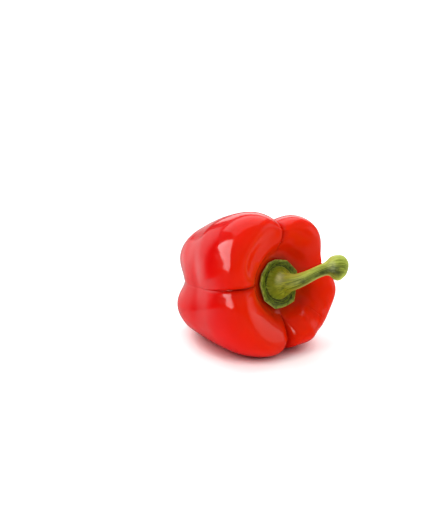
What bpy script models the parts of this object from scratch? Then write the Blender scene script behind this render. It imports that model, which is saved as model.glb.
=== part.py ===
"""A red bell pepper lying on its side: the lobed fruit, and the green stem with its calyx in the hollow.

Both pieces are closed grids of rings. The fruit is drawn round its own axis: "along" runs from the blossom
end to the stem end, and an angle goes round the axis, anticlockwise from the right as seen from the stem end.
The fruit is then tipped so that it lies on its two lowest lobes.
"""
import math
from collections import namedtuple

import bmesh
import bpy
import numpy as np

# Pose: the stem end stands a little higher than the blossom end, and the flesh is flat where it bears on the
# ground
AXIS_TILT = math.radians(10.5)
REST_FLAT_DEPTH = 0.0006

# Line over a lobe, from the blossom pole to the seat of the calyx. Each knot holds its place along the axis,
# its radius, how deep the furrow beside it is, and how sharply that furrow is pinched: 0 is a valley,
# 1 a crease
LOBE_LINE = (
    (-0.0365, 0.0000, 0.0000, 0.0),
    (-0.0385, 0.0075, 0.0010, 0.0),
    (-0.0420, 0.0140, 0.0030, 0.1),
    (-0.0425, 0.0195, 0.0040, 0.1),
    (-0.0375, 0.0250, 0.0042, 0.1),
    (-0.0280, 0.0302, 0.0042, 0.1),
    (-0.0165, 0.0342, 0.0042, 0.1),
    (-0.0040, 0.0378, 0.0045, 0.1),
    (0.0075, 0.0410, 0.0052, 0.3),
    (0.0180, 0.0432, 0.0058, 0.5),
    (0.0285, 0.0436, 0.0066, 0.8),
    (0.0380, 0.0413, 0.0080, 1.0),
    (0.0440, 0.0363, 0.0092, 1.0),
    (0.0443, 0.0290, 0.0080, 1.0),
    (0.0386, 0.0212, 0.0046, 0.8),
    (0.0314, 0.0171, 0.0006, 0.4),
    (0.0292, 0.0085, 0.0000, 0.0),
    (0.0291, 0.0000, 0.0000, 0.0),
)

# Stretches of that line, counted in knots: where the blossom end's own sizes fade out, the shoulder's fade
# in, the lobes fade in from the blossom pole and out into the round seat, the furrows turn from one angle to
# the other, the crests lie, the inner walls lie, and the walls dip
BLOSSOM_FADE = (3.0, 8.0)
SHOULDER_FADE = (6.0, 11.0)
POLE_FADE = (0.0, 5.0)
SEAT_FADE = (10.5, 15.0)
TWIST_FADE = (4.0, 12.0)
CREST_STRETCH = (9.0, 16.0)
INNER_WALL_STRETCH = (10.6, 15.8)
DIP_STRETCH = (11.5, 15.0)

# The widest ring lies off the axis of the stem, by this much and towards this angle
BODY_OFFSET = 0.0042
BODY_OFFSET_ANGLE = 212.0

# How full a lobe stays beside a crease: 2 is round, more is fuller
LOBE_FULLNESS = 2.6
CREASE_REACH = 0.9999

# A furrow's angles are where it starts at the shoulder and ends at the blossom end. Its depths and its pinch
# are shares of those in LOBE_LINE
Furrow = namedtuple("Furrow", "shoulder_angle blossom_angle shoulder_depth flank_depth blossom_depth pinch")
FURROWS = (
    Furrow(11.0, 24.0, 1.0, 0.6, 0.6, 0.3),
    Furrow(85.5, 54.0, 1.25, 1.0, 1.0, 0.8),
    Furrow(175.0, 180.0, 1.05, 1.8, 2.3, 1.0),
    Furrow(266.3, 274.0, 1.75, 1.3, 0.8, 1.0),
    Furrow(309.0, 316.0, 0.22, 0.5, 0.4, 0.2),
)

# Each lobe runs from the furrow of the same row to the next. It stands out from LOBE_LINE, its crest is
# lifted, its inner wall dips and stands back from the calyx, and it leans towards its second furrow where
# lean is above 0
Lobe = namedtuple("Lobe", "shoulder_out flank_out blossom_out crest_lift dip stand_back lean")
LOBES = (
    Lobe(0.0028, 0.0015, 0.0000, -0.0030, 0.0000, 0.0000, 0.0),
    Lobe(0.0040, 0.0030, -0.0010, 0.0000, 0.0055, -0.0005, -0.1),
    Lobe(-0.0002, 0.0015, 0.0025, 0.0000, 0.0025, 0.0010, 0.0),
    Lobe(-0.0025, 0.0000, 0.0010, 0.0000, 0.0000, 0.0006, -0.9),
    Lobe(0.0012, 0.0000, 0.0000, -0.0020, 0.0000, 0.0006, 0.0),
)
COLUMNS_PER_LOBE = 16
FRUIT_ROWS = 43
CROWDING = 0.6

# Calyx and stem. Their shared centre line starts on the calyx's underside, a little below the fruit's axis,
# and its points go from there along the axis, to the right and upwards
CALYX_BASE = 0.0305
CALYX_DROP = 0.0007
STEM_PATH = (
    (0.0000, 0.0000, 0.0000),
    (0.0125, 0.0000, 0.0006),
    (0.0190, 0.0010, 0.0010),
    (0.0240, 0.0080, 0.0040),
    (0.0280, 0.0160, 0.0150),
    (0.0318, 0.0238, 0.0038),
    (0.0345, 0.0292, 0.0034),
)

# Line from the underside's centre over the rim, the groove and the dome: distance along the centre line,
# radius, and how far the ring follows the rim's corners
CALYX_LINE = (
    (0.0000, 0.0000, 1.0),
    (0.0000, 0.0060, 1.0),
    (0.0000, 0.0115, 1.0),
    (0.0005, 0.0138, 1.0),
    (0.0012, 0.0147, 1.0),
    (0.0019, 0.0146, 1.0),
    (0.0021, 0.0138, 0.9),
    (0.0014, 0.0119, 0.5),
    (0.0007, 0.0105, 0.1),
    (0.0009, 0.0098, 0.0),
    (0.0021, 0.0093, 0.0),
    (0.0038, 0.0084, 0.0),
    (0.0056, 0.0074, 0.0),
    (0.0074, 0.0061, 0.0),
    (0.0095, 0.0053, 0.0),
)

# The same line up the stem and over its thick end, which is cut off square
STEM_LINE = (
    (0.0130, 0.0045),
    (0.0190, 0.0038),
    (0.0250, 0.0034),
    (0.0305, 0.0034),
    (0.0338, 0.0039),
    (0.0357, 0.0052),
    (0.0375, 0.0066),
    (0.0400, 0.0074),
    (0.0430, 0.0068),
    (0.0450, 0.0047),
)
CUT_DEPTH = 0.0005
CUT_INNER_SHARE = 0.55

# The rim is a rounded polygon: the angle of each corner, and how far out it reaches against the rim's radius
CALYX_CORNERS = (
    (16.0, 1.02),
    (57.0, 0.96),
    (94.0, 0.96),
    (116.0, 1.00),
    (149.0, 1.03),
    (172.0, 1.05),
    (209.0, 1.07),
    (246.0, 1.06),
    (274.0, 0.99),
    (304.0, 1.06),
)
CORNER_SHARPNESS = 0.85

# Ribs run along the stem between these distances and fade out at both ends
STEM_RIBS = 5
RIB_HEIGHT = 0.06
RIBS_FADE_IN = (0.004, 0.012)
RIBS_FADE_OUT = (0.034, 0.042)
STEM_COLUMNS = 36
ROWS_PER_KNOT = 2
PATH_STEPS = 400


def smooth_step(x):
    x = np.clip(x, 0.0, 1.0)
    return x * x * (3.0 - 2.0 * x)


def fade(x, stretch):
    """Rises from 0 to 1 over the stretch."""
    return smooth_step((x - stretch[0]) / (stretch[1] - stretch[0]))


def hump(x, stretch):
    """Rises to 1 in the middle of the stretch, and is 0 outside it."""
    middle = (stretch[0] + stretch[1]) / 2.0
    return smooth_step(1.0 - abs(x - middle) / (stretch[1] - middle))


def spline_controls(knots, odd):
    """Control values of the cubic curve through the knots, mirrored at both ends, in sign too where odd."""
    count = len(knots)
    sign = -1.0 if odd else 1.0
    weights = np.diag(np.full(count, 4.0)) + np.diag(np.ones(count - 1), 1) + np.diag(np.ones(count - 1), -1)
    weights[0, 1] += sign
    weights[-1, -2] += sign
    return np.linalg.solve(weights / 6.0, knots)


def spline_points(knots, places, odd):
    """The smooth curve through the knots, at places counted in knots."""
    control = spline_controls(knots, odd)
    sign = -1.0 if odd else 1.0
    control = np.concatenate([sign * control[1:2], control, sign * control[-2:-1]])
    start = np.clip(places.astype(int), 0, len(knots) - 2)
    f = (places - start)[:, None]
    return (
        (1.0 - f) ** 3 * control[start]
        + (3.0 * f**3 - 6.0 * f**2 + 4.0) * control[start + 1]
        + (-3.0 * f**3 + 3.0 * f**2 + 3.0 * f + 1.0) * control[start + 2]
        + f**3 * control[start + 3]
    ) / 6.0


def furrow_line(line):
    """The lobe's line moved inwards, square to itself, by the depth of the furrow."""
    along, radius, depth = line[:, 0], line[:, 1], line[:, 2]
    step_along = np.gradient(along)
    step_radius = np.gradient(radius)
    length = np.hypot(step_along, step_radius)
    return np.stack([along + depth * step_radius / length, radius - depth * step_along / length], -1)


def places_across(columns):
    """Places across a lobe, from -1 at its first furrow to just under 1, crowded beside the furrows."""
    across = np.linspace(-1.0, 1.0, columns + 1)[:-1]
    return CROWDING * np.sin(across * math.pi / 2.0) + (1.0 - CROWDING) * across


def lobe_knots(lobe, first, second, across):
    """Knots of the lines that run along one lobe, and their angles at the shoulder and at the blossom end."""
    line = np.array(LOBE_LINE)
    furrow = furrow_line(line)
    level = np.arange(len(line), dtype=float)
    shoulder = fade(level, SHOULDER_FADE)
    blossom = 1.0 - fade(level, BLOSSOM_FADE)
    flank = 1.0 - shoulder - blossom
    lobed = fade(level, POLE_FADE) * (1.0 - fade(level, SEAT_FADE))
    to_second = ((across + 1.0) / 2.0)[:, None]
    between = Furrow(*(a + (b - a) * smooth_step(to_second) for a, b in zip(first, second)))
    crease = 1.0 - (1.0 - CREASE_REACH * abs(across) ** LOBE_FULLNESS) ** (1.0 / LOBE_FULLNESS)
    valley = 0.5 * (1.0 - np.cos(math.pi * across))
    pinch = line[:, 3] * between.pinch
    depth = between.shoulder_depth * shoulder + between.flank_depth * flank + between.blossom_depth * blossom
    into = (pinch * crease[:, None] + (1.0 - pinch) * valley[:, None]) * depth
    swell = ((1.0 - across**2) ** 2 * (1.0 + 2.0 * across**2))[:, None]
    out = (lobe.shoulder_out * shoulder + lobe.flank_out * flank + lobe.blossom_out * blossom) * lobed
    out = (out + lobe.stand_back * hump(level, INNER_WALL_STRETCH)) * (1.0 + lobe.lean * across[:, None])
    at_shoulder = first.shoulder_angle + (second.shoulder_angle - first.shoulder_angle) * to_second[:, 0]
    at_blossom = first.blossom_angle + (second.blossom_angle - first.blossom_angle) * to_second[:, 0]
    offset = BODY_OFFSET * lobed * np.cos(np.radians(at_shoulder - BODY_OFFSET_ANGLE))[:, None]
    lift = lobe.crest_lift * hump(level, CREST_STRETCH) - lobe.dip * hump(level, DIP_STRETCH)
    along = line[:, 0] + (furrow[:, 0] - line[:, 0]) * into + lift * swell
    radius = line[:, 1] + (furrow[:, 1] - line[:, 1]) * into + out * swell + offset
    return along.T, radius.T, at_shoulder, at_blossom


def fruit_grid(columns_per_lobe, rows):
    """Points of the fruit's skin, a ring for each row."""
    places = np.linspace(0.0, len(LOBE_LINE) - 1.0, rows)
    turned = fade(places, TWIST_FADE)
    last = FURROWS[0]._replace(
        shoulder_angle=FURROWS[0].shoulder_angle + 360.0,
        blossom_angle=FURROWS[0].blossom_angle + 360.0,
    )
    points = []
    for lobe, first, second in zip(LOBES, FURROWS, FURROWS[1:] + (last,)):
        across = places_across(columns_per_lobe)
        along, radius, at_shoulder, at_blossom = lobe_knots(lobe, first, second, across)
        along = spline_points(along, places, odd=False)
        radius = spline_points(radius, places, odd=True)
        angle = np.radians(np.outer(turned, at_shoulder) + np.outer(1.0 - turned, at_blossom))
        points.append(np.stack([along, radius * np.cos(angle), radius * np.sin(angle)], -1))
    return np.concatenate(points, 1)


def stem_centres():
    """Points of the stem's centre line, a Bezier curve, and how far along it each one is."""
    path = np.array(STEM_PATH)
    t = np.linspace(0.0, 1.0, PATH_STEPS)[:, None]
    order = len(path) - 1
    points = sum(math.comb(order, k) * t**k * (1.0 - t) ** (order - k) * path[k] for k in range(order + 1))
    steps = np.linalg.norm(np.diff(points, axis=0), axis=1)
    return points, np.concatenate([[0.0], np.cumsum(steps)])


def stem_frames(distances):
    """The stem's centre at each distance, and two directions across it, carried along without a twist."""
    points, far = stem_centres()
    tangent = np.gradient(points, axis=0)
    tangent /= np.linalg.norm(tangent, axis=1, keepdims=True)
    centres = np.stack([np.interp(distances, far, points[:, k]) for k in range(3)], -1)
    ways = np.stack([np.interp(distances, far, tangent[:, k]) for k in range(3)], -1)
    right = np.array([0.0, 1.0, 0.0])
    rights = []
    ups = []
    for way in ways:
        right = right - way * (right @ way)
        right = right / np.linalg.norm(right)
        rights.append(right)
        ups.append(np.cross(way, right))
    return centres, np.array(rights), np.array(ups)


def rim_shape(angles):
    """Radius of the calyx's rounded polygon at each angle, against the rim's own radius."""
    corners = CALYX_CORNERS + ((CALYX_CORNERS[0][0] + 360.0, CALYX_CORNERS[0][1]),)
    at = np.radians([angle for angle, reach in corners])
    reach = np.array([reach for angle, reach in corners])
    turned = np.mod(angles - at[0], 2.0 * math.pi) + at[0]
    start = np.searchsorted(at, turned, "right") - 1
    near, far = reach[start], reach[start + 1]
    past, left = turned - at[start], at[start + 1] - turned
    straight = near * far * np.sin(past + left) / (near * np.sin(past) + far * np.sin(left))
    arc = near + (far - near) * smooth_step(past / (past + left))
    return arc + CORNER_SHARPNESS * (straight - arc)


def calyx_grid(columns, rows_per_knot):
    """Points of the calyx and stem, a ring for each row, from the underside's centre to the cut end's."""
    line = np.array(CALYX_LINE + tuple(row + (0.0,) for row in STEM_LINE))
    places = np.linspace(0.0, len(line) - 1.0, (len(line) - 1) * rows_per_knot + 1)
    distance, radius = (spline_points(line[:, k : k + 1], places, odd=False) for k in (0, 1))
    cornered = np.interp(places, np.arange(len(line)), line[:, 2])[:, None]
    ribbed = fade(distance, RIBS_FADE_IN) * (1.0 - fade(distance, RIBS_FADE_OUT))
    angles = np.arange(columns) * 2.0 * math.pi / columns
    ribs = RIB_HEIGHT * ribbed * np.cos(STEM_RIBS * angles)
    radius = radius * (1.0 + cornered * (rim_shape(angles) - 1.0) + ribs)
    radius[0] = 0.0
    centres, rights, ups = stem_frames(np.clip(distance[:, 0], 0.0, None))
    across = np.cos(angles)[:, None] * rights[:, None] + np.sin(angles)[:, None] * ups[:, None]
    points = centres[:, None] + radius[..., None] * across
    cut_centre = centres[-1] - np.cross(rights[-1], ups[-1]) * CUT_DEPTH
    cut_ring = cut_centre + (points[-1] - centres[-1]) * CUT_INNER_SHARE
    cut_pole = np.broadcast_to(cut_centre, cut_ring.shape)
    points = np.concatenate([points, cut_ring[None], cut_pole[None]])
    return points + np.array([CALYX_BASE, 0.0, -CALYX_DROP])


def laid_down(points):
    """The points with the fruit's axis tipped up towards the stem end."""
    along, right, up = points[..., 0], points[..., 1], points[..., 2]
    c, s = math.cos(AXIS_TILT), math.sin(AXIS_TILT)
    return np.stack([along * c - up * s, right, along * s + up * c], -1)


def closed_mesh(name, grid):
    """A closed mesh over rings of points. The first and the last ring are single points."""
    mesh = bpy.data.meshes.new(name)
    bm = bmesh.new()
    first = bm.verts.new(grid[0, 0])
    last = bm.verts.new(grid[-1, 0])
    rings = [[bm.verts.new(point) for point in ring] for ring in grid[1:-1]]
    columns = len(rings[0])
    for k in range(columns):
        following = (k + 1) % columns
        bm.faces.new((first, rings[0][following], rings[0][k]))
        bm.faces.new((last, rings[-1][k], rings[-1][following]))
        for low, high in zip(rings, rings[1:]):
            bm.faces.new((low[k], low[following], high[following], high[k]))
    bmesh.ops.recalc_face_normals(bm, faces=bm.faces)
    bm.to_mesh(mesh)
    bm.free()
    mesh.shade_smooth()
    return mesh


def flesh_material():
    material = bpy.data.materials.new("red_skin")
    material.use_nodes = True
    shader = material.node_tree.nodes["Principled BSDF"]
    shader.inputs["Base Color"].default_value = (0.72, 0.012, 0.008, 1.0)
    shader.inputs["Roughness"].default_value = 0.22
    shader.inputs["Metallic"].default_value = 0.0
    return material


def green_material():
    material = bpy.data.materials.new("green_stem")
    material.use_nodes = True
    shader = material.node_tree.nodes["Principled BSDF"]
    shader.inputs["Base Color"].default_value = (0.16, 0.26, 0.03, 1.0)
    shader.inputs["Roughness"].default_value = 0.55
    shader.inputs["Metallic"].default_value = 0.0
    return material


def add_piece(name, grid, material, parent):
    piece = bpy.data.objects.new(name, closed_mesh(name, grid))
    piece.data.materials.append(material)
    piece.parent = parent
    bpy.context.scene.collection.objects.link(piece)
    return piece


def clear_scene():
    for item in list(bpy.data.objects):
        bpy.data.objects.remove(item, do_unlink=True)


def main():
    clear_scene()
    fruit = laid_down(fruit_grid(COLUMNS_PER_LOBE, FRUIT_ROWS))
    calyx = laid_down(calyx_grid(STEM_COLUMNS, ROWS_PER_KNOT))
    ground = fruit[..., 2].min() + REST_FLAT_DEPTH
    fruit[..., 2] = np.maximum(fruit[..., 2] - ground, 0.0)
    calyx[..., 2] -= ground
    both = np.concatenate([fruit.reshape(-1, 3), calyx.reshape(-1, 3)])
    middle = (both.min(0) + both.max(0)) / 2.0
    pepper = bpy.data.objects.new("pepper", None)
    pepper.location = (-middle[0], -middle[1], 0.0)
    bpy.context.scene.collection.objects.link(pepper)
    add_piece("fruit", fruit, flesh_material(), pepper)
    add_piece("stem_and_calyx", calyx, green_material(), pepper)


main()
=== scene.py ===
import math
from collections import namedtuple

import bpy
import numpy as np
from mathutils import Matrix, Quaternion, Vector


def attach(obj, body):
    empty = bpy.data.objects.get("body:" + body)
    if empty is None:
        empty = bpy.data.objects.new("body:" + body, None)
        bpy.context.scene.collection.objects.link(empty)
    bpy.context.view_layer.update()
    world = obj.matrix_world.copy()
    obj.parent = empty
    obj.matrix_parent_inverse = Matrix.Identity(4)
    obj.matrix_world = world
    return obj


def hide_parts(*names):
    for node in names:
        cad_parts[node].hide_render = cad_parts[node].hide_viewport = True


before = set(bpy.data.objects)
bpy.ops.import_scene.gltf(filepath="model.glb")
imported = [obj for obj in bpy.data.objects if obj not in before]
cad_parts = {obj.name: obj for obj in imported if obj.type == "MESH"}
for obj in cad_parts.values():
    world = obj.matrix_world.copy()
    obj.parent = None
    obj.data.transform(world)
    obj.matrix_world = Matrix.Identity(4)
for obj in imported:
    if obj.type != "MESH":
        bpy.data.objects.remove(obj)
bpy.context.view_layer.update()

# The pepper's own sizes are those of the CAD source, in metres. Its formulas are repeated here, on finer
# grids
AXIS_TILT = math.radians(10.5)
REST_FLAT_DEPTH = 0.0006

# Line over a lobe, from the blossom pole to the seat of the calyx. Each knot holds its place along the
# axis, its radius, how deep the furrow beside it is, and how sharply that furrow is pinched, from a valley
# at 0 to a crease at 1
LOBE_LINE = (
    (-0.0365, 0.0000, 0.0000, 0.0),
    (-0.0385, 0.0075, 0.0010, 0.0),
    (-0.0420, 0.0140, 0.0030, 0.1),
    (-0.0425, 0.0195, 0.0040, 0.1),
    (-0.0375, 0.0250, 0.0042, 0.1),
    (-0.0280, 0.0302, 0.0042, 0.1),
    (-0.0165, 0.0342, 0.0042, 0.1),
    (-0.0040, 0.0378, 0.0045, 0.1),
    (0.0075, 0.0410, 0.0052, 0.3),
    (0.0180, 0.0432, 0.0058, 0.5),
    (0.0285, 0.0436, 0.0066, 0.8),
    (0.0380, 0.0413, 0.0080, 1.0),
    (0.0440, 0.0363, 0.0092, 1.0),
    (0.0443, 0.0290, 0.0080, 1.0),
    (0.0386, 0.0212, 0.0046, 0.8),
    (0.0314, 0.0171, 0.0006, 0.4),
    (0.0292, 0.0085, 0.0000, 0.0),
    (0.0291, 0.0000, 0.0000, 0.0),
)

# Stretches of that line, counted in knots
BLOSSOM_FADE = (3.0, 8.0)
SHOULDER_FADE = (6.0, 11.0)
POLE_FADE = (0.0, 5.0)
SEAT_FADE = (10.5, 15.0)
TWIST_FADE = (4.0, 12.0)
CREST_STRETCH = (9.0, 16.0)
INNER_WALL_STRETCH = (10.6, 15.8)
DIP_STRETCH = (11.5, 15.0)

# The widest ring lies off the axis of the stem, by this much and towards this angle
BODY_OFFSET = 0.0042
BODY_OFFSET_ANGLE = 212.0
LOBE_FULLNESS = 2.6
CREASE_REACH = 0.9999

Furrow = namedtuple("Furrow", "shoulder_angle blossom_angle shoulder_depth flank_depth blossom_depth pinch")
FURROWS = (
    Furrow(11.0, 24.0, 1.0, 0.6, 0.6, 0.3),
    Furrow(85.5, 54.0, 1.25, 1.0, 1.0, 0.8),
    Furrow(175.0, 180.0, 1.05, 1.8, 2.3, 1.0),
    Furrow(266.3, 274.0, 1.75, 1.3, 0.8, 1.0),
    Furrow(309.0, 316.0, 0.22, 0.5, 0.4, 0.2),
)
Lobe = namedtuple("Lobe", "shoulder_out flank_out blossom_out crest_lift dip stand_back lean")
LOBES = (
    Lobe(0.0028, 0.0015, 0.0000, -0.0030, 0.0000, 0.0000, 0.0),
    Lobe(0.0040, 0.0030, -0.0010, 0.0000, 0.0055, -0.0005, -0.1),
    Lobe(-0.0002, 0.0015, 0.0025, 0.0000, 0.0025, 0.0010, 0.0),
    Lobe(-0.0025, 0.0000, 0.0010, 0.0000, 0.0000, 0.0006, -0.9),
    Lobe(0.0012, 0.0000, 0.0000, -0.0020, 0.0000, 0.0006, 0.0),
)
CAD_COLUMNS_PER_LOBE = 16
CAD_FRUIT_ROWS = 43
COLUMNS_PER_LOBE = 52
FRUIT_ROWS = 290
CROWDING = 0.6

CALYX_BASE = 0.0305
CALYX_DROP = 0.0007
STEM_PATH = (
    (0.0000, 0.0000, 0.0000),
    (0.0125, 0.0000, 0.0006),
    (0.0190, 0.0010, 0.0010),
    (0.0240, 0.0080, 0.0040),
    (0.0280, 0.0160, 0.0150),
    (0.0318, 0.0238, 0.0038),
    (0.0345, 0.0292, 0.0034),
)
CALYX_LINE = (
    (0.0000, 0.0000, 1.0),
    (0.0000, 0.0060, 1.0),
    (0.0000, 0.0115, 1.0),
    (0.0005, 0.0138, 1.0),
    (0.0012, 0.0147, 1.0),
    (0.0019, 0.0146, 1.0),
    (0.0021, 0.0138, 0.9),
    (0.0014, 0.0119, 0.5),
    (0.0007, 0.0105, 0.1),
    (0.0009, 0.0098, 0.0),
    (0.0021, 0.0093, 0.0),
    (0.0038, 0.0084, 0.0),
    (0.0056, 0.0074, 0.0),
    (0.0074, 0.0061, 0.0),
    (0.0095, 0.0053, 0.0),
)
STEM_LINE = (
    (0.0130, 0.0045),
    (0.0190, 0.0038),
    (0.0250, 0.0034),
    (0.0305, 0.0034),
    (0.0338, 0.0039),
    (0.0357, 0.0052),
    (0.0375, 0.0066),
    (0.0400, 0.0074),
    (0.0430, 0.0068),
    (0.0450, 0.0047),
)
CALYX_CORNERS = (
    (16.0, 1.02),
    (57.0, 0.96),
    (94.0, 0.96),
    (116.0, 1.00),
    (149.0, 1.03),
    (172.0, 1.05),
    (209.0, 1.07),
    (246.0, 1.06),
    (274.0, 0.99),
    (304.0, 1.06),
)
CORNER_SHARPNESS = 0.85
STEM_RIBS = 5
RIB_HEIGHT = 0.06
RIBS_FADE_IN = (0.004, 0.012)
RIBS_FADE_OUT = (0.034, 0.042)
CAD_STEM_COLUMNS = 36
CAD_ROWS_PER_KNOT = 2
STEM_COLUMNS = 168
ROWS_PER_KNOT = 11
PATH_STEPS = 400
TINY_LENGTH = 1e-12

# Cut face of the stem: share of the end ring's radius, and depth below its plane
CUT_LINE = (
    (0.97, -0.0001),
    (0.93, 0.0000),
    (0.86, 0.0003),
    (0.55, 0.0005),
    (0.30, 0.0007),
    (0.18, 0.0009),
    (0.00, 0.0009),
)

# Camera: it looks from this azimuth and elevation, in degrees, with the photograph's scale in pixels. The
# middle of the fruit's own frame shows at the pixel below
CAMERA_AZIMUTH = 50.0
CAMERA_ELEVATION = 18.0
CAMERA_DISTANCE = 0.9
FOCAL_PIXELS = 1500.0
FRAME_WIDTH = 435
FRAME_HEIGHT = 520
FRUIT_PIXEL = (244.3, 278.0)
SENSOR = 36.0


def smooth_step(x):
    x = np.clip(x, 0.0, 1.0)
    return x * x * (3.0 - 2.0 * x)


def fade(x, stretch):
    """Rises from 0 to 1 over the stretch."""
    return smooth_step((x - stretch[0]) / (stretch[1] - stretch[0]))


def hump(x, stretch):
    """Rises to 1 in the middle of the stretch, and is 0 outside it."""
    middle = (stretch[0] + stretch[1]) / 2.0
    return smooth_step(1.0 - abs(x - middle) / (stretch[1] - middle))


def spline_controls(knots, odd):
    """Control values of the cubic curve through the knots, mirrored at both ends, in sign too where odd."""
    count = len(knots)
    sign = -1.0 if odd else 1.0
    ones = np.ones(count - 1)
    weights = np.diag(np.full(count, 4.0)) + np.diag(ones, 1) + np.diag(ones, -1)
    weights[0, 1] += sign
    weights[-1, -2] += sign
    return np.linalg.solve(weights / 6.0, knots)


def spline_points(knots, places, odd):
    """The smooth curve through the knots, at places counted in knots."""
    control = spline_controls(knots, odd)
    sign = -1.0 if odd else 1.0
    control = np.concatenate([sign * control[1:2], control, sign * control[-2:-1]])
    start = np.clip(places.astype(int), 0, len(knots) - 2)
    f = (places - start)[:, None]
    return (
        (1.0 - f) ** 3 * control[start]
        + (3.0 * f**3 - 6.0 * f**2 + 4.0) * control[start + 1]
        + (-3.0 * f**3 + 3.0 * f**2 + 3.0 * f + 1.0) * control[start + 2]
        + f**3 * control[start + 3]
    ) / 6.0


def furrow_line(line):
    """The lobe's line moved inwards, square to itself, by the depth of the furrow."""
    along, radius, depth = line[:, 0], line[:, 1], line[:, 2]
    step_along = np.gradient(along)
    step_radius = np.gradient(radius)
    length = np.hypot(step_along, step_radius)
    return np.stack([along + depth * step_radius / length, radius - depth * step_along / length], -1)


def places_across(columns):
    """Places across a lobe, from -1 at its first furrow to just under 1, crowded beside the furrows."""
    across = np.linspace(-1.0, 1.0, columns + 1)[:-1]
    return CROWDING * np.sin(across * math.pi / 2.0) + (1.0 - CROWDING) * across


def crease_shape(across):
    """How far a pinched furrow pulls the skin in: 0 on the lobe's crest, 1 in the furrow."""
    return 1.0 - (1.0 - CREASE_REACH * abs(across) ** LOBE_FULLNESS) ** (1.0 / LOBE_FULLNESS)


def lobe_knots(lobe, first, second, across):
    """Knots of the lines along one lobe, and their angles at the shoulder and at the blossom end."""
    line = np.array(LOBE_LINE)
    furrow = furrow_line(line)
    level = np.arange(len(line), dtype=float)
    shoulder = fade(level, SHOULDER_FADE)
    blossom = 1.0 - fade(level, BLOSSOM_FADE)
    flank = 1.0 - shoulder - blossom
    lobed = fade(level, POLE_FADE) * (1.0 - fade(level, SEAT_FADE))
    to_second = ((across + 1.0) / 2.0)[:, None]
    between = Furrow(*(a + (b - a) * smooth_step(to_second) for a, b in zip(first, second)))
    valley = 0.5 * (1.0 - np.cos(math.pi * across))
    pinch = line[:, 3] * between.pinch
    depth = between.shoulder_depth * shoulder + between.flank_depth * flank
    depth = depth + between.blossom_depth * blossom
    into = (pinch * crease_shape(across)[:, None] + (1.0 - pinch) * valley[:, None]) * depth
    swell = ((1.0 - across**2) ** 2 * (1.0 + 2.0 * across**2))[:, None]
    out = (lobe.shoulder_out * shoulder + lobe.flank_out * flank + lobe.blossom_out * blossom) * lobed
    out = (out + lobe.stand_back * hump(level, INNER_WALL_STRETCH)) * (1.0 + lobe.lean * across[:, None])
    at_shoulder = first.shoulder_angle + (second.shoulder_angle - first.shoulder_angle) * to_second[:, 0]
    at_blossom = first.blossom_angle + (second.blossom_angle - first.blossom_angle) * to_second[:, 0]
    offset = BODY_OFFSET * lobed * np.cos(np.radians(at_shoulder - BODY_OFFSET_ANGLE))[:, None]
    lift = lobe.crest_lift * hump(level, CREST_STRETCH) - lobe.dip * hump(level, DIP_STRETCH)
    along = line[:, 0] + (furrow[:, 0] - line[:, 0]) * into + lift * swell
    radius = line[:, 1] + (furrow[:, 1] - line[:, 1]) * into + out * swell + offset
    return along.T, radius.T, at_shoulder, at_blossom


def fruit_grid(columns_per_lobe, rows):
    """Points of the fruit's skin, a ring for each row, with each point's angle round the axis."""
    places = np.linspace(0.0, len(LOBE_LINE) - 1.0, rows)
    turned = fade(places, TWIST_FADE)
    last = FURROWS[0]._replace(
        shoulder_angle=FURROWS[0].shoulder_angle + 360.0,
        blossom_angle=FURROWS[0].blossom_angle + 360.0,
    )
    points = []
    angles = []
    for lobe, first, second in zip(LOBES, FURROWS, FURROWS[1:] + (last,)):
        across = places_across(columns_per_lobe)
        along, radius, at_shoulder, at_blossom = lobe_knots(lobe, first, second, across)
        along = spline_points(along, places, odd=False)
        radius = spline_points(radius, places, odd=True)
        angle = np.radians(np.outer(turned, at_shoulder) + np.outer(1.0 - turned, at_blossom))
        points.append(np.stack([along, radius * np.cos(angle), radius * np.sin(angle)], -1))
        angles.append(angle)
    return np.concatenate(points, 1), np.concatenate(angles, 1)


def stem_centres():
    """Points of the stem's centre line, a Bezier curve, and how far along it each one is."""
    path = np.array(STEM_PATH)
    t = np.linspace(0.0, 1.0, PATH_STEPS)[:, None]
    order = len(path) - 1
    points = sum(math.comb(order, k) * t**k * (1.0 - t) ** (order - k) * path[k] for k in range(order + 1))
    steps = np.linalg.norm(np.diff(points, axis=0), axis=1)
    return points, np.concatenate([[0.0], np.cumsum(steps)])


def stem_frames(distances):
    """The stem's centre at each distance, and two directions across it, carried along without a twist."""
    points, far = stem_centres()
    tangent = np.gradient(points, axis=0)
    tangent /= np.linalg.norm(tangent, axis=1, keepdims=True)
    centres = np.stack([np.interp(distances, far, points[:, k]) for k in range(3)], -1)
    ways = np.stack([np.interp(distances, far, tangent[:, k]) for k in range(3)], -1)
    right = np.array([0.0, 1.0, 0.0])
    rights = []
    ups = []
    for way in ways:
        right = right - way * (right @ way)
        right = right / np.linalg.norm(right)
        rights.append(right)
        ups.append(np.cross(way, right))
    return centres, np.array(rights), np.array(ups)


def rim_shape(angles):
    """Radius of the calyx's rounded polygon at each angle, against the rim's own radius."""
    corners = CALYX_CORNERS + ((CALYX_CORNERS[0][0] + 360.0, CALYX_CORNERS[0][1]),)
    at = np.radians([angle for angle, reach in corners])
    reach = np.array([reach for angle, reach in corners])
    turned = np.mod(angles - at[0], 2.0 * math.pi) + at[0]
    start = np.searchsorted(at, turned, "right") - 1
    near, far = reach[start], reach[start + 1]
    past, left = turned - at[start], at[start + 1] - turned
    straight = near * far * np.sin(past + left) / (near * np.sin(past) + far * np.sin(left))
    arc = near + (far - near) * smooth_step(past / (past + left))
    return arc + CORNER_SHARPNESS * (straight - arc)


def calyx_places(rows_per_knot):
    knots = len(CALYX_LINE) + len(STEM_LINE)
    return np.linspace(0.0, knots - 1.0, (knots - 1) * rows_per_knot + 1)


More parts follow.
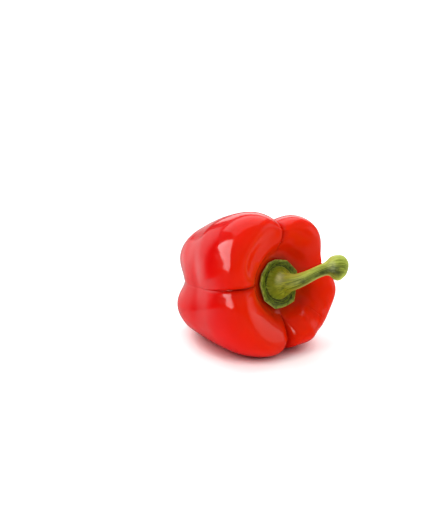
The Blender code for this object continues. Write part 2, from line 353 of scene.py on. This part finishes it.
def calyx_grid(columns, rows_per_knot):
    """Points of the calyx and stem, a ring for each row, from the underside's centre to the cut's rim."""
    line = np.array(CALYX_LINE + tuple(row + (0.0,) for row in STEM_LINE))
    places = calyx_places(rows_per_knot)
    distance, radius = (spline_points(line[:, k : k + 1], places, odd=False) for k in (0, 1))
    cornered = np.interp(places, np.arange(len(line)), line[:, 2])[:, None]
    ribbed = fade(distance, RIBS_FADE_IN) * (1.0 - fade(distance, RIBS_FADE_OUT))
    angles = np.arange(columns) * 2.0 * math.pi / columns
    ribs = RIB_HEIGHT * ribbed * np.cos(STEM_RIBS * angles)
    radius = radius * (1.0 + cornered * (rim_shape(angles) - 1.0) + ribs)
    radius[0] = 0.0
    centres, rights, ups = stem_frames(np.clip(distance[:, 0], 0.0, None))
    across = np.cos(angles)[:, None] * rights[:, None] + np.sin(angles)[:, None] * ups[:, None]
    points = centres[:, None] + radius[..., None] * across
    base = np.array([CALYX_BASE, 0.0, -CALYX_DROP])
    return points + base, centres[-1] + base, np.cross(rights[-1], ups[-1])


def laid_down(points):
    """The points with the fruit's axis tipped up towards the stem end."""
    along, right, up = points[..., 0], points[..., 1], points[..., 2]
    c, s = math.cos(AXIS_TILT), math.sin(AXIS_TILT)
    return np.stack([along * c - up * s, right, along * s + up * c], -1)


def cad_placement():
    """How far the CAD source moves the fruit's own frame: its grids give the ground and the middle."""
    fruit = laid_down(fruit_grid(CAD_COLUMNS_PER_LOBE, CAD_FRUIT_ROWS)[0])
    calyx = laid_down(calyx_grid(CAD_STEM_COLUMNS, CAD_ROWS_PER_KNOT)[0])
    ground = fruit[..., 2].min() + REST_FLAT_DEPTH
    both = np.concatenate([fruit.reshape(-1, 3), calyx.reshape(-1, 3)])
    middle = (both.min(0) + both.max(0)) / 2.0
    return np.array([-middle[0], -middle[1], -ground])


def grid_normals(grid):
    """Unit directions square to a closed grid of rings, facing out."""
    round_it = np.roll(grid, -1, 1) - np.roll(grid, 1, 1)
    along_it = np.gradient(grid, axis=0)
    normals = np.cross(round_it, along_it)
    length = np.linalg.norm(normals, axis=-1, keepdims=True)
    return normals / np.maximum(length, TINY_LENGTH)


def closed_mesh(name, grid, masks):
    """A closed mesh over rings of points, whose first and last ring are single points, with its masks."""
    def in_order(values):
        return np.concatenate([values[0, :1], values[-1, :1], values[1:-1].reshape(-1, *values.shape[2:])])

    rows, columns = grid.shape[0] - 2, grid.shape[1]
    index = 2 + np.arange(rows * columns).reshape(rows, columns)
    following = np.roll(index, -1, 1)
    faces = np.stack([index[:-1], following[:-1], following[1:], index[1:]], -1).reshape(-1, 4).tolist()
    faces += [(0, b, a) for a, b in zip(index[0].tolist(), following[0].tolist())]
    faces += [(1, a, b) for a, b in zip(index[-1].tolist(), following[-1].tolist())]
    mesh = bpy.data.meshes.new(name)
    mesh.from_pydata(in_order(grid).tolist(), [], faces)
    for mask, values in masks.items():
        kind = "FLOAT" if values.ndim == 2 else "FLOAT_VECTOR"
        field = "value" if values.ndim == 2 else "vector"
        layer = mesh.attributes.new(mask, kind, "POINT")
        layer.data.foreach_set(field, in_order(values).astype(np.float32).ravel())
    mesh.shade_smooth()
    return mesh


def add_node(tree, kind, sockets, **settings):
    """A shader node with these settings. A value that is a socket is linked, and any other is set."""
    node = tree.nodes.new("ShaderNode" + kind)
    for name, value in settings.items():
        setattr(node, name, value)
    for name, value in sockets.items():
        if isinstance(value, bpy.types.NodeSocket):
            tree.links.new(value, node.inputs[name])
        else:
            node.inputs[name].default_value = value
    return node


def object_place(tree):
    return add_node(tree, "TexCoord", {}).outputs["Object"]


def mask(tree, name, output="Fac"):
    return add_node(tree, "Attribute", {}, attribute_name=name).outputs[output]


def noise(tree, place, scale, detail=2.0, roughness=0.5):
    sockets = {"Vector": place, "Scale": scale, "Detail": detail, "Roughness": roughness}
    return add_node(tree, "TexNoise", sockets).outputs["Fac"]


def spread(tree, value, low, high, bottom=0.0, top=1.0):
    """The value's stretch from low to high, spread from bottom to top."""
    sockets = {"Value": value, "From Min": low, "From Max": high, "To Min": bottom, "To Max": top}
    return add_node(tree, "MapRange", sockets, interpolation_type="SMOOTHSTEP").outputs["Result"]


def times(tree, first, second):
    return add_node(tree, "Math", {0: first, 1: second}, operation="MULTIPLY").outputs[0]


def plus(tree, first, second):
    return add_node(tree, "Math", {0: first, 1: second}, operation="ADD").outputs[0]


def mixed(tree, share, first, second):
    """The first colour with this share of the second laid over it."""
    return add_node(tree, "Mix", {0: share, 6: first, 7: second}, data_type="RGBA").outputs[2]


def two_tone(tree, value, stretch, first, second):
    """The first colour where the value lies below the stretch, the second where it lies above."""
    return mixed(tree, spread(tree, value, *stretch), first, second)


def broken(tree, share, value, stretch):
    """The share, broken up: gone where the value lies below the stretch, whole where it lies above."""
    return times(tree, share, spread(tree, value, *stretch))


def bump(tree, height, distance, under=None):
    """Normals of a relief this deep, in metres, on top of another."""
    sockets = {"Height": height, "Distance": distance, "Strength": 1.0}
    if under is not None:
        sockets["Normal"] = under
    return add_node(tree, "Bump", sockets).outputs["Normal"]


def colour(red, green, blue):
    return (red, green, blue, 1.0)


def new_material(name, settings):
    """A material with these values on its shader's sockets, with its node tree and its shader."""
    material = bpy.data.materials.new(name)
    material.use_nodes = True
    tree = material.node_tree
    shader = tree.nodes["Principled BSDF"]
    for socket, value in settings.items():
        shader.inputs[socket].default_value = value
    return material, tree, shader


# Skin: its colours, the scales and stretches of its noises, and its small relief in metres
RED = colour(0.70, 0.0004, 0.0004)
RED_PATCH = colour(0.74, 0.002, 0.001)
WARM_RED = colour(0.78, 0.018, 0.001)
# Painted shade: a darker brown-red on the hollow's inner walls round the calyx
HOLLOW_SHADE_BROWN = colour(0.48, 0.022, 0.001)
# Painted shade: a darker red laid into the pinched furrows
FURROW_SHADE_RED = colour(0.44, 0.007, 0.002)
SPECKLE_RED = colour(0.80, 0.04, 0.02)
PATCH_SCALE = 45.0
PATCH_STRETCH = (0.35, 0.7)
SPECKLE_SCALE = 900.0
SPECKLE_STRETCH = (0.62, 0.78)
SPECKLE_SHARE = 0.12
SKIN_ROUGH_STRETCH = (0.3, 0.7)
SKIN_ROUGHNESS = (0.28, 0.36)
WAVE_SCALE = 160.0
WAVE_HEIGHT = 0.00004
PORE_SCALE = 1500.0
PORE_HEIGHT = 0.000012
SKIN_SETTINGS = {
    "IOR": 1.04,
    "Coat Weight": 1.0,
    "Coat IOR": 1.2,
    "Coat Roughness": 0.07,
    "Subsurface Weight": 0.35,
    "Subsurface Radius": (1.0, 0.10, 0.05),
    "Subsurface Scale": 0.006,
}


def skin_material():
    material, tree, shader = new_material("pepper_skin", SKIN_SETTINGS)
    place = object_place(tree)
    patches = noise(tree, place, PATCH_SCALE, detail=3.0)
    speckle = noise(tree, place, SPECKLE_SCALE, detail=3.0, roughness=0.6)
    body = two_tone(tree, patches, PATCH_STRETCH, RED, RED_PATCH)
    body = mixed(tree, mask(tree, "warmth"), body, WARM_RED)
    # Painted shade on the hollow's inner walls round the calyx
    body = mixed(tree, mask(tree, "hollow"), body, HOLLOW_SHADE_BROWN)
    # Painted shade in the pinched furrows
    body = mixed(tree, mask(tree, "furrow"), body, FURROW_SHADE_RED)
    body = mixed(tree, spread(tree, speckle, *SPECKLE_STRETCH, 0.0, SPECKLE_SHARE), body, SPECKLE_RED)
    waves = bump(tree, noise(tree, place, WAVE_SCALE), WAVE_HEIGHT)
    pores = bump(tree, noise(tree, place, PORE_SCALE), PORE_HEIGHT, waves)
    tree.links.new(body, shader.inputs["Base Color"])
    tree.links.new(spread(tree, patches, *SKIN_ROUGH_STRETCH, *SKIN_ROUGHNESS), shader.inputs["Roughness"])
    tree.links.new(pores, shader.inputs["Normal"])
    tree.links.new(waves, shader.inputs["Coat Normal"])
    return material


# Stem and calyx: colours, in pairs where a noise goes from one to the other, then the same kinds of values
STRIPE_GREENS = (colour(0.12, 0.17, 0.007), colour(0.42, 0.49, 0.06))
LINE_GREENS = (colour(0.10, 0.14, 0.003), colour(0.34, 0.39, 0.014))
COLLAR_GREENS = (colour(0.022, 0.034, 0.001), colour(0.14, 0.19, 0.008))
DOME_GREEN = colour(0.20, 0.26, 0.009)
# Painted light: a lighter green on the stem's top side and on the knob's lower side
LIT_TOP_GREEN = colour(0.50, 0.58, 0.075)
# Painted highlight: a pale spot on the upper side of the dome
DOME_HIGHLIGHT_GREEN = colour(0.54, 0.60, 0.24)
SHADE_GREEN = colour(0.045, 0.060, 0.004)
MOTTLE_GREEN = colour(0.26, 0.33, 0.03)
# Painted shade: near black in the groove between the calyx's ring and its dome
GROOVE_SHADE_GREEN = colour(0.010, 0.014, 0.001)
RIM_GREEN = colour(0.40, 0.42, 0.16)
# Painted light: a pale band along the stem's underside
UNDERSIDE_LIGHT_YELLOW = colour(0.60, 0.50, 0.20)
CUT_GREEN = colour(0.38, 0.42, 0.12)
STRIPE_SCALE = 7.0
STRIPE_STRETCH = (0.38, 0.62)
LINE_STRETCH = (0.42, 0.58)
COLLAR_SCALE = 4.0
COLLAR_STRETCH = (0.43, 0.58)
BLOTCH_SCALE = 170.0
SHADE_STRETCH = (0.25, 0.55)
RIM_STRETCH = (0.25, 0.5)
MOTTLE_SCALE = 420.0
MOTTLE_STRETCH = (0.52, 0.72)
MOTTLE_SHARE = 0.35
GROOVE_SHADE_STRETCH = (0.3, 0.5)
STEM_ROUGH_STRETCH = (0.3, 0.7)
STEM_ROUGHNESS = (0.36, 0.52)
STRIPE_HEIGHT = 0.0004
MOTTLE_HEIGHT = 0.0003
STEM_SETTINGS = {"Specular IOR Level": 0.15}


def stem_material():
    material, tree, shader = new_material("pepper_stem", STEM_SETTINGS)
    stripes = noise(tree, mask(tree, "grain", "Vector"), STRIPE_SCALE, detail=4.0, roughness=0.6)
    rings = noise(tree, mask(tree, "hoops", "Vector"), COLLAR_SCALE, detail=3.0, roughness=0.6)
    place = object_place(tree)
    mottle = noise(tree, place, MOTTLE_SCALE, detail=4.0, roughness=0.65)
    blotch = noise(tree, place, BLOTCH_SCALE, detail=3.0)
    shade = broken(tree, mask(tree, "shade"), blotch, SHADE_STRETCH)
    # Painted shade in the groove between the ring and the dome, broken up by the mottle
    groove = broken(tree, mask(tree, "groove"), mottle, GROOVE_SHADE_STRETCH)
    rim = broken(tree, mask(tree, "rim"), blotch, RIM_STRETCH)
    body = two_tone(tree, stripes, STRIPE_STRETCH, *STRIPE_GREENS)
    body = mixed(tree, mask(tree, "dome"), body, DOME_GREEN)
    body = mixed(tree, mask(tree, "flare"), body, two_tone(tree, stripes, LINE_STRETCH, *LINE_GREENS))
    # Painted light on the stem's top side and on the knob
    body = mixed(tree, mask(tree, "top"), body, LIT_TOP_GREEN)
    # Painted highlight on the dome
    body = mixed(tree, mask(tree, "dome_highlight"), body, DOME_HIGHLIGHT_GREEN)
    body = mixed(tree, shade, body, SHADE_GREEN)
    body = mixed(tree, mask(tree, "ring"), body, two_tone(tree, rings, COLLAR_STRETCH, *COLLAR_GREENS))
    body = mixed(tree, spread(tree, mottle, *MOTTLE_STRETCH, 0.0, MOTTLE_SHARE), body, MOTTLE_GREEN)
    # Painted shade in the groove
    body = mixed(tree, groove, body, GROOVE_SHADE_GREEN)
    body = mixed(tree, rim, body, RIM_GREEN)
    # Painted light along the stem's underside
    body = mixed(tree, mask(tree, "pale"), body, UNDERSIDE_LIGHT_YELLOW)
    body = mixed(tree, mask(tree, "cut"), body, CUT_GREEN)
    ridges = bump(tree, stripes, STRIPE_HEIGHT)
    grains = bump(tree, mottle, MOTTLE_HEIGHT, ridges)
    tree.links.new(body, shader.inputs["Base Color"])
    tree.links.new(spread(tree, mottle, *STEM_ROUGH_STRETCH, *STEM_ROUGHNESS), shader.inputs["Roughness"])
    tree.links.new(grains, shader.inputs["Normal"])
    return material


# Unevenness of the skin, in metres: waists across the lobes, broad dents, and the knots where both fade
WAIST_PITCH = 0.013
WAIST_HEIGHT = 0.00003
WAIST_WANDER = 1.3
WANDERS_AROUND = 2.0
WAISTS_FADE = (0.0, 0.030)
DENT_PITCH = 0.027
DENT_HEIGHT = 0.00015
DENTS_AROUND = 5.0
DENT_SLANT = 3.0
DENT_TURN = 1.0
WAVES_FADE = (9.5, 12.0)

# Masks of the skin, counted in knots of the lobe's line: painted shade in the furrows and on the hollow's
# inner walls, and warm reds. The hollow's painted shade, a darker brown-red, starts at its own knot on each
# lobe's inner wall
FURROW_SHADE_FADE_IN = (8.0, 12.0)
FURROW_SHADE_FADE_OUT = (14.5, 16.0)
WARMTH_FADE = (9.0, 13.0)
HOLLOW_SHADE_STARTS = (14.9, 14.0, 12.6, 14.5, 13.2)
HOLLOW_SHADE_FULL = 15.6


def fruit_waves(grid, angles, places):
    """Small unevenness of the skin, in metres: shallow waists across the lobes and broad dents."""
    along = grid[..., 0]
    waists = np.sin(along * 2.0 * math.pi / WAIST_PITCH + WAIST_WANDER * np.sin(WANDERS_AROUND * angles))
    waists = waists * (1.0 - fade(along, WAISTS_FADE))
    dents = np.sin(along * 2.0 * math.pi / DENT_PITCH + DENT_SLANT * angles)
    dents = dents * np.cos(DENTS_AROUND * angles + DENT_TURN)
    return (WAIST_HEIGHT * waists + DENT_HEIGHT * dents) * (1.0 - fade(places, WAVES_FADE))


def fruit_masks(places):
    """Where the skin's painted furrow shade, painted hollow shade and warm reds show, for each row and
    column of the fruit's grid.
    """
    across = np.tile(places_across(COLUMNS_PER_LOBE), len(LOBES))
    pinch = np.repeat([furrow.pinch for furrow in FURROWS], COLUMNS_PER_LOBE)
    pinch = np.roll(pinch, -COLUMNS_PER_LOBE // 2)
    depth = fade(places, FURROW_SHADE_FADE_IN) * (1.0 - fade(places, FURROW_SHADE_FADE_OUT))
    column = np.arange(len(across)) / COLUMNS_PER_LOBE
    lobe_middles = np.arange(len(LOBES) + 2) - 0.5
    starts = np.interp(column, lobe_middles, HOLLOW_SHADE_STARTS[-1:] + HOLLOW_SHADE_STARTS + HOLLOW_SHADE_STARTS[:1])
    return {
        # Painted shade, deepest where a furrow is pinched to a crease
        "furrow": depth * pinch * crease_shape(across) ** 2,
        # Painted shade on the hollow's inner walls
        "hollow": smooth_step((places - starts) / (HOLLOW_SHADE_FULL - starts)),
        "warmth": fade(places, WARMTH_FADE) + 0.0 * across,
    }


def make_fruit(placement):
    grid, angles = fruit_grid(COLUMNS_PER_LOBE, FRUIT_ROWS)
    places = np.linspace(0.0, len(LOBE_LINE) - 1.0, FRUIT_ROWS)[:, None]
    grid[1:-1] += (grid_normals(grid) * fruit_waves(grid, angles, places)[..., None])[1:-1]
    points = laid_down(grid) + placement
    points[..., 2] = np.maximum(points[..., 2], 0.0)
    piece = bpy.data.objects.new("fruit_skin", closed_mesh("fruit_skin", points, fruit_masks(places)))
    piece.data.materials.append(skin_material())
    return piece


# Masks of the stem, counted in knots of its line from the underside's centre. Bands go right round it.
# Sides are an angle round the stem and how far from it the mask reaches, in degrees
STEM_BANDS = {
    "rim": (4.4, 5.3),
    # The groove band is painted shade
    "groove": (7.6, 9.4),
    "ring": (4.8, 9.4),
    "dome": (8.5, 14.0),
    "flare": (10.5, 17.0),
}
STEM_FADE = (14.0, 16.0)
# Painted highlight on the dome: its band and its side
DOME_HIGHLIGHT_BAND = (11.2, 14.6)
DOME_HIGHLIGHT_SIDE = (138.0, 50.0)
# Painted light: the stem's top side and the knob's lower side are made lighter, and the whole knob a little
LIT_TOP_FADE = (13.0, 15.0)
LIT_TOP_SIDE = (105.0, 75.0)
LIT_KNOB_BAND = (20.3, 25.0)
LIT_KNOB_SIDE = (250.0, 70.0)
KNOB_FADE = (21.5, 23.5)
KNOB_SHARE = 0.3
SHADE_SIDE = (204.0, 55.0)
SHADE_END = (21.5, 24.0)
# Painted light along the stem's underside: its side, where it ends and its share
UNDERSIDE_LIGHT_SIDE = (262.0, 12.0)
UNDERSIDE_LIGHT_END = (19.0, 20.5)
UNDERSIDE_LIGHT_SHARE = 0.7
LIGHT_SHARE = 0.8
CUT_FADE = (24.0, 24.2)
CUT_STEP = 0.1

# Coordinates of the noises on the stem: their radius round it, and their step for each knot
GRAIN_SIZE = (1.0, 0.08)
HOOP_SIZE = (0.7, 0.9)


def beside(angles, side):
    """1 at the side's angle round the stem, fading to 0 at its reach on both sides."""
    middle, reach = side
    apart = abs((np.degrees(angles) - middle + 180.0) % 360.0 - 180.0)
    return smooth_step(1.0 - apart / reach)


def round_stem(angles, rows, size):
    """Coordinates on a plain cylinder for each row and column."""
    radius, step = size
    right = radius * np.cos(angles) + 0.0 * rows
    up = radius * np.sin(angles) + 0.0 * rows
    return np.stack([right, up, step * rows + 0.0 * angles], -1)


def stem_masks(rows, angles):
    """Where the stem's colours show, for each row and column of its grid, and its noises' coordinates."""
    flat = 0.0 * angles
    on_stem = fade(rows, STEM_FADE)
    masks = {name: hump(rows, band) + flat for name, band in STEM_BANDS.items()}
    # Painted highlight: a pale spot on the dome
    masks["dome_highlight"] = hump(rows, DOME_HIGHLIGHT_BAND) * beside(angles, DOME_HIGHLIGHT_SIDE) * LIGHT_SHARE
    # The top mask is painted light: lighter on the stem's top side, on the knob's lower side, and a little
    # over the whole knob
    masks["top"] = fade(rows, LIT_TOP_FADE) * beside(angles, LIT_TOP_SIDE) * LIGHT_SHARE
    masks["top"] += hump(rows, LIT_KNOB_BAND) * beside(angles, LIT_KNOB_SIDE) * LIGHT_SHARE
    masks["top"] += fade(rows, KNOB_FADE) * KNOB_SHARE
    masks["shade"] = on_stem * beside(angles, SHADE_SIDE) * (1.0 - fade(rows, SHADE_END))
    # Painted light along the stem's underside
    masks["pale"] = on_stem * (1.0 - fade(rows, UNDERSIDE_LIGHT_END)) * beside(angles, UNDERSIDE_LIGHT_SIDE) * UNDERSIDE_LIGHT_SHARE
    masks["cut"] = fade(rows, CUT_FADE) + flat
    masks["grain"] = round_stem(angles, rows, GRAIN_SIZE)
    masks["hoops"] = round_stem(angles, rows, HOOP_SIZE)
    return masks


def make_stem(placement):
    grid, end, way = calyx_grid(STEM_COLUMNS, ROWS_PER_KNOT)
    cut_rings = np.array([end - way * depth + (grid[-1] - end) * share for share, depth in CUT_LINE])
    grid = np.concatenate([grid, cut_rings])
    places = calyx_places(ROWS_PER_KNOT)
    cut_places = places[-1] + CUT_STEP * np.arange(1, len(CUT_LINE) + 1)
    rows = np.concatenate([places, cut_places])[:, None]
    angles = np.arange(STEM_COLUMNS) * 2.0 * math.pi / STEM_COLUMNS
    points = laid_down(grid) + placement
    piece = bpy.data.objects.new("green_stem", closed_mesh("green_stem", points, stem_masks(rows, angles)))
    piece.data.materials.append(stem_material())
    return piece


# Stage, in metres: half the side of the square floor, which is the walls' height too, the signs of its
# corners, and the height at which the walls start
ROOM = 5.0
SQUARE = ((-1, -1), (1, -1), (1, 1), (-1, 1))
WALL_FOOT = -0.1

# Floor: its white, the tint of the painted shadow under the pepper, dark red, the distances from its middle
# over which that painted shadow ends and the two glows start, how strong they are, and how far each floor
# lies below the pepper, in metres. The near glow stops short of the pepper, which leaves a painted dark
# patch under it
FLOOR_WHITE = 0.93
CONTACT_SHADOW_TINT = (1.0, 0.45, 0.47)
CONTACT_SHADOW_STRETCH = (0.015, 0.043)
NEAR_STRETCH = (0.028, 0.043)
NEAR_GLOW = 0.31
FAR_STRETCH = (0.07, 1.5)
FAR_GLOW = 0.50
FLOOR_DROP = 0.00005
MIRRORED_DROP = 0.00002
MIRRORED_SHARE = 0.34

# World: its strength from the horizon to halfway up
WORLD_STRETCH = (0.0, 0.5)
WORLD_STRENGTH = (0.08, 0.36)

# Softboxes: name, where each stands as seen from the pepper (degrees to the right of the camera, degrees
# up), how far it is rolled, in degrees, its distance, width and height in metres, how strong it is, and
# whether it gives only shine, only fill or both
SOFTBOXES = (
    ("window", -73.0, 18.0, -42.0, 0.9, 1.25, 0.98, 18.5, "shine"),
    ("key", -60.0, 54.0, 0.0, 1.0, 0.90, 0.90, 1.3, "fill"),
    ("front", 20.0, 50.0, 0.0, 1.2, 1.10, 1.10, 0.3, "fill"),
    ("right", 70.0, 38.0, 0.0, 1.2, 1.00, 0.90, 1.15, "fill"),
    ("overhead", -172.0, 58.0, 0.0, 1.2, 1.45, 1.30, 2.2, "both"),
    ("overhead_core", -172.0, 58.0, 0.0, 1.2, 1.10, 0.95, 2.8, "both"),
    ("side", 101.0, 9.0, 0.0, 0.9, 0.55, 0.70, 1.5, "shine"),
    ("back", 178.0, 14.0, 0.0, 1.2, 0.90, 0.30, 2.0, "both"),
)
LAMP_TARGET = (0.0, 0.0, 0.04)

# Flag: where it stands along the pepper, its sides across it, its lower and upper edge, and the stretches
# over which it turns pale, across it and upwards, in metres, then its two colours and its strength
FLAG_ALONG = -0.092
FLAG_SIDES = (-0.30, -0.008)
FLAG_EDGES = (-0.10, 0.11)
FLAG_PALE_SIDE = (-0.065, -0.026)
FLAG_PALE_UP = (-0.035, 0.04)
FLAG_RED = colour(0.25, 0.0, 0.0)
FLAG_PALE = colour(1.0, 0.83, 0.83)
FLAG_STRENGTH = 1.2

BLACK = colour(0.0, 0.0, 0.0)
WHITE = colour(1.0, 1.0, 1.0)


def add_stage(name, corners, faces, material, hidden_from):
    """A stage piece that the named kinds of rays pass by."""
    mesh = bpy.data.meshes.new(name)
    mesh.from_pydata(corners, [], faces)
    mesh.materials.append(material)
    piece = bpy.data.objects.new(name, mesh)
    piece.visible_camera = "camera" not in hidden_from
    piece.visible_diffuse = "diffuse" not in hidden_from
    piece.visible_glossy = "glossy" not in hidden_from
    piece.visible_shadow = "shadow" not in hidden_from
    bpy.context.scene.collection.objects.link(piece)
    return piece


def floor_material(name, share):
    """Matt white that glows away from the pepper, as a lit studio floor does. Under the pepper it is tinted
    dark red and has no glow, which paints a shadow there. The share dims all of it.
    """
    settings = {"Emission Color": WHITE, "Roughness": 0.9, "Specular IOR Level": 0.1}
    material, tree, shader = new_material(name, settings)
    away = add_node(tree, "VectorMath", {0: object_place(tree)}, operation="LENGTH").outputs["Value"]
    # The glow stops short of the pepper: painted shadow under it
    near = spread(tree, away, *NEAR_STRETCH, 0.0, NEAR_GLOW * share)
    far = spread(tree, away, *FAR_STRETCH, 0.0, FAR_GLOW * share)
    white = FLOOR_WHITE * share
    # Painted shadow: the floor's white tinted dark red under the pepper
    contact_shadow = colour(*(part * white for part in CONTACT_SHADOW_TINT))
    sheet = two_tone(tree, away, CONTACT_SHADOW_STRETCH, contact_shadow, colour(white, white, white))
    tree.links.new(sheet, shader.inputs["Base Color"])
    tree.links.new(plus(tree, near, far), shader.inputs["Emission Strength"])
    return material


def add_floor(name, drop, share, hidden_from):
    corners = [(x * ROOM, y * ROOM, 0.0) for x, y in SQUARE]
    floor = add_stage(name, corners, [(0, 1, 2, 3)], floor_material(name + "_white", share), hidden_from)
    floor.location.z = -drop


def add_floors():
    """The floor, and a dimmer one just above it that only the skin's reflections see."""
    add_floor("floor", FLOOR_DROP, 1.0, ("glossy",))
    add_floor("floor_mirrored", MIRRORED_DROP, MIRRORED_SHARE, ("camera", "diffuse", "shadow"))


def glow_material(name, strength):
    """Black apart from the light that it gives."""
    settings = {"Base Color": BLACK, "Specular IOR Level": 0.0, "Emission Strength": strength}
    return new_material(name, settings)


def add_backdrop():
    """White walls at the floor's edges. They only show behind the pepper and give no light."""
    corners = [(x * ROOM, y * ROOM, z) for z in (WALL_FOOT, ROOM) for x, y in SQUARE]
    walls = [(k, (k + 1) % 4, (k + 1) % 4 + 4, k + 4) for k in range(4)]
    material, tree, shader = glow_material("backdrop_white", 1.0)
    shader.inputs["Emission Color"].default_value = WHITE
    add_stage("backdrop", corners, walls, material, ("diffuse", "glossy", "shadow"))


def add_flag():
    """A dark red card behind the blossom end. It shows only as a reflection on the left flank."""
    corners = [(FLAG_ALONG, side, edge) for edge in FLAG_EDGES for side in FLAG_SIDES]
    material, tree, shader = glow_material("flag_red", FLAG_STRENGTH)
    place = add_node(tree, "SeparateXYZ", {0: object_place(tree)})
    pale_side = spread(tree, place.outputs["Y"], *FLAG_PALE_SIDE)
    pale_up = spread(tree, place.outputs["Z"], *FLAG_PALE_UP)
    glow = mixed(tree, times(tree, pale_side, pale_up), FLAG_RED, FLAG_PALE)
    tree.links.new(glow, shader.inputs["Emission Color"])
    add_stage("flag", corners, [(0, 1, 3, 2)], material, ("camera", "diffuse", "shadow"))


def add_world():
    """A room that is dim near the floor and lighter above."""
    world = bpy.data.worlds.new("studio")
    bpy.context.scene.world = world
    world.use_nodes = True
    tree = world.node_tree
    way = add_node(tree, "TexCoord", {}).outputs["Generated"]
    height = add_node(tree, "SeparateXYZ", {0: way}).outputs["Z"]
    background = tree.nodes["Background"]
    background.inputs["Color"].default_value = WHITE
    tree.links.new(spread(tree, height, *WORLD_STRETCH, *WORLD_STRENGTH), background.inputs["Strength"])


def way_out(azimuth, elevation):
    """Unit direction away from the pepper, at this azimuth and elevation in degrees."""
    azimuth, elevation = math.radians(azimuth), math.radians(elevation)
    level = math.cos(elevation)
    return Vector((math.sin(azimuth) * level, -math.cos(azimuth) * level, math.sin(elevation)))


def add_camera(placement):
    azimuth = math.radians(CAMERA_AZIMUTH)
    back = way_out(CAMERA_AZIMUTH, CAMERA_ELEVATION)
    right = Vector((math.cos(azimuth), math.sin(azimuth), 0.0))
    up = back.cross(right)
    per_pixel = CAMERA_DISTANCE / FOCAL_PIXELS
    aside = (FRUIT_PIXEL[0] - FRAME_WIDTH / 2.0) * per_pixel
    below = (FRUIT_PIXEL[1] - FRAME_HEIGHT / 2.0) * per_pixel
    target = Vector(placement) - right * aside + up * below
    data = bpy.data.cameras.new("camera")
    data.sensor_fit = "VERTICAL"
    data.sensor_height = SENSOR
    data.sensor_width = SENSOR
    data.lens = SENSOR * FOCAL_PIXELS / FRAME_HEIGHT
    camera = bpy.data.objects.new("camera", data)
    turn = Matrix((right, up, back)).transposed()
    camera.matrix_world = Matrix.Translation(target + back * CAMERA_DISTANCE) @ turn.to_4x4()
    bpy.context.scene.collection.objects.link(camera)
    bpy.context.scene.camera = camera


def add_softboxes():
    for name, aside, lift, roll, distance, width, height, strength, part in SOFTBOXES:
        way = way_out(CAMERA_AZIMUTH + aside, lift)
        data = bpy.data.lights.new(name, "AREA")
        data.shape = "RECTANGLE"
        data.size = width
        data.size_y = height
        data.energy = strength * math.pi * width * height
        lamp = bpy.data.objects.new(name, data)
        lamp.location = Vector(LAMP_TARGET) + way * distance
        lamp.rotation_mode = "QUATERNION"
        rolled = Quaternion((0.0, 0.0, 1.0), math.radians(roll))
        lamp.rotation_quaternion = way.to_track_quat("Z", "Y") @ rolled
        lamp.visible_camera = False
        lamp.visible_glossy = part != "fill"
        lamp.visible_diffuse = part != "shine"
        bpy.context.scene.collection.objects.link(lamp)


def build():
    placement = cad_placement()
    for piece, node, slot in (
        (make_fruit(placement), "fruit", "skin"),
        (make_stem(placement), "stem_and_calyx", "stem"),
    ):
        bpy.context.scene.collection.objects.link(piece)
        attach(piece, "root")
        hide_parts(node)
    add_floors()
    add_backdrop()
    add_world()
    add_softboxes()
    add_flag()
    add_camera(placement)
    bpy.context.scene.view_settings.view_transform = "Standard"


build()
